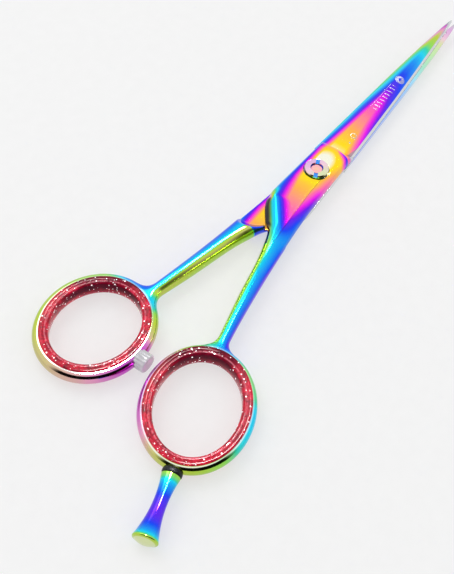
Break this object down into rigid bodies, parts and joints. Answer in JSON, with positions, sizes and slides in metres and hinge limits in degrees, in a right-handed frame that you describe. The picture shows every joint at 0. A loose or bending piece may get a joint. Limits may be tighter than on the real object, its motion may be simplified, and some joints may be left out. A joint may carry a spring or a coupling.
{
  "type": "thinning shears",
  "caption": "Hairdresser's thinning shears with two ringed handles, soft ring inserts, a removable finger rest, a bumper and an adjustable pivot.",
  "frame": {"origin": "where the pivot axis crosses the plane that the two halves slide on", "axes": "+Z along the pivot axis out of the tension nut, +X towards the blade tips, +Y towards the thumb ring"},
  "size_m": [0.1656, 0.0531, 0.0062],
  "materials": {
    "coated_steel": "mirror polished, with a rainbow titanium coating",
    "spring_steel": "satin",
    "nylon": "satin",
    "red_insert": "clear red with silver glitter, gloss",
    "grey_bumper": "translucent, satin",
    "black_rubber": "satin"
  },
  "bodies": {
    "finger_side": {"finger_half": "coated_steel", "pivot_bushing": "nylon", "blade_washer": "nylon", "nut_washer": "nylon", "spring_washer": "spring_steel", "finger_insert": "red_insert"},
    "thumb_side": {"thumb_half": "coated_steel", "pivot_stud": "coated_steel", "thumb_insert": "red_insert", "bumper": "grey_bumper"},
    "nut": {"tension_nut": "coated_steel"},
    "rest_seal": {"rest_washer": "black_rubber"},
    "rest_post": {"finger_rest": "coated_steel"}
  },
  "joints": [
    {"name": "blade_pivot", "type": "hinge", "parent": "finger_side", "child": "thumb_side", "pos_m": [0, 0, 0], "axis": [0, 0, -1], "range_deg": [-1.1, 72]},
    {"name": "tension_turn", "type": "hinge", "parent": "thumb_side", "child": "nut", "pos_m": [0, 0, 0], "axis": [0, 0, 1], "range_deg": [-90, 90]},
    {"name": "rest_travel", "type": "slide", "parent": "finger_side", "child": "rest_seal", "axis": [-0.9613, -0.2756, 0], "range_m": [0, 0.0016]},
    {"name": "rest_turn", "type": "hinge", "parent": "rest_seal", "child": "rest_post", "pos_m": [-0.08, -0.0178, 0], "axis": [-0.9613, -0.2756, 0], "range_deg": [0, 1440]}
  ],
  "couplings": [
    {"joint": "rest_turn", "follows": "rest_travel", "rad_per_m": 15708}
  ]
}
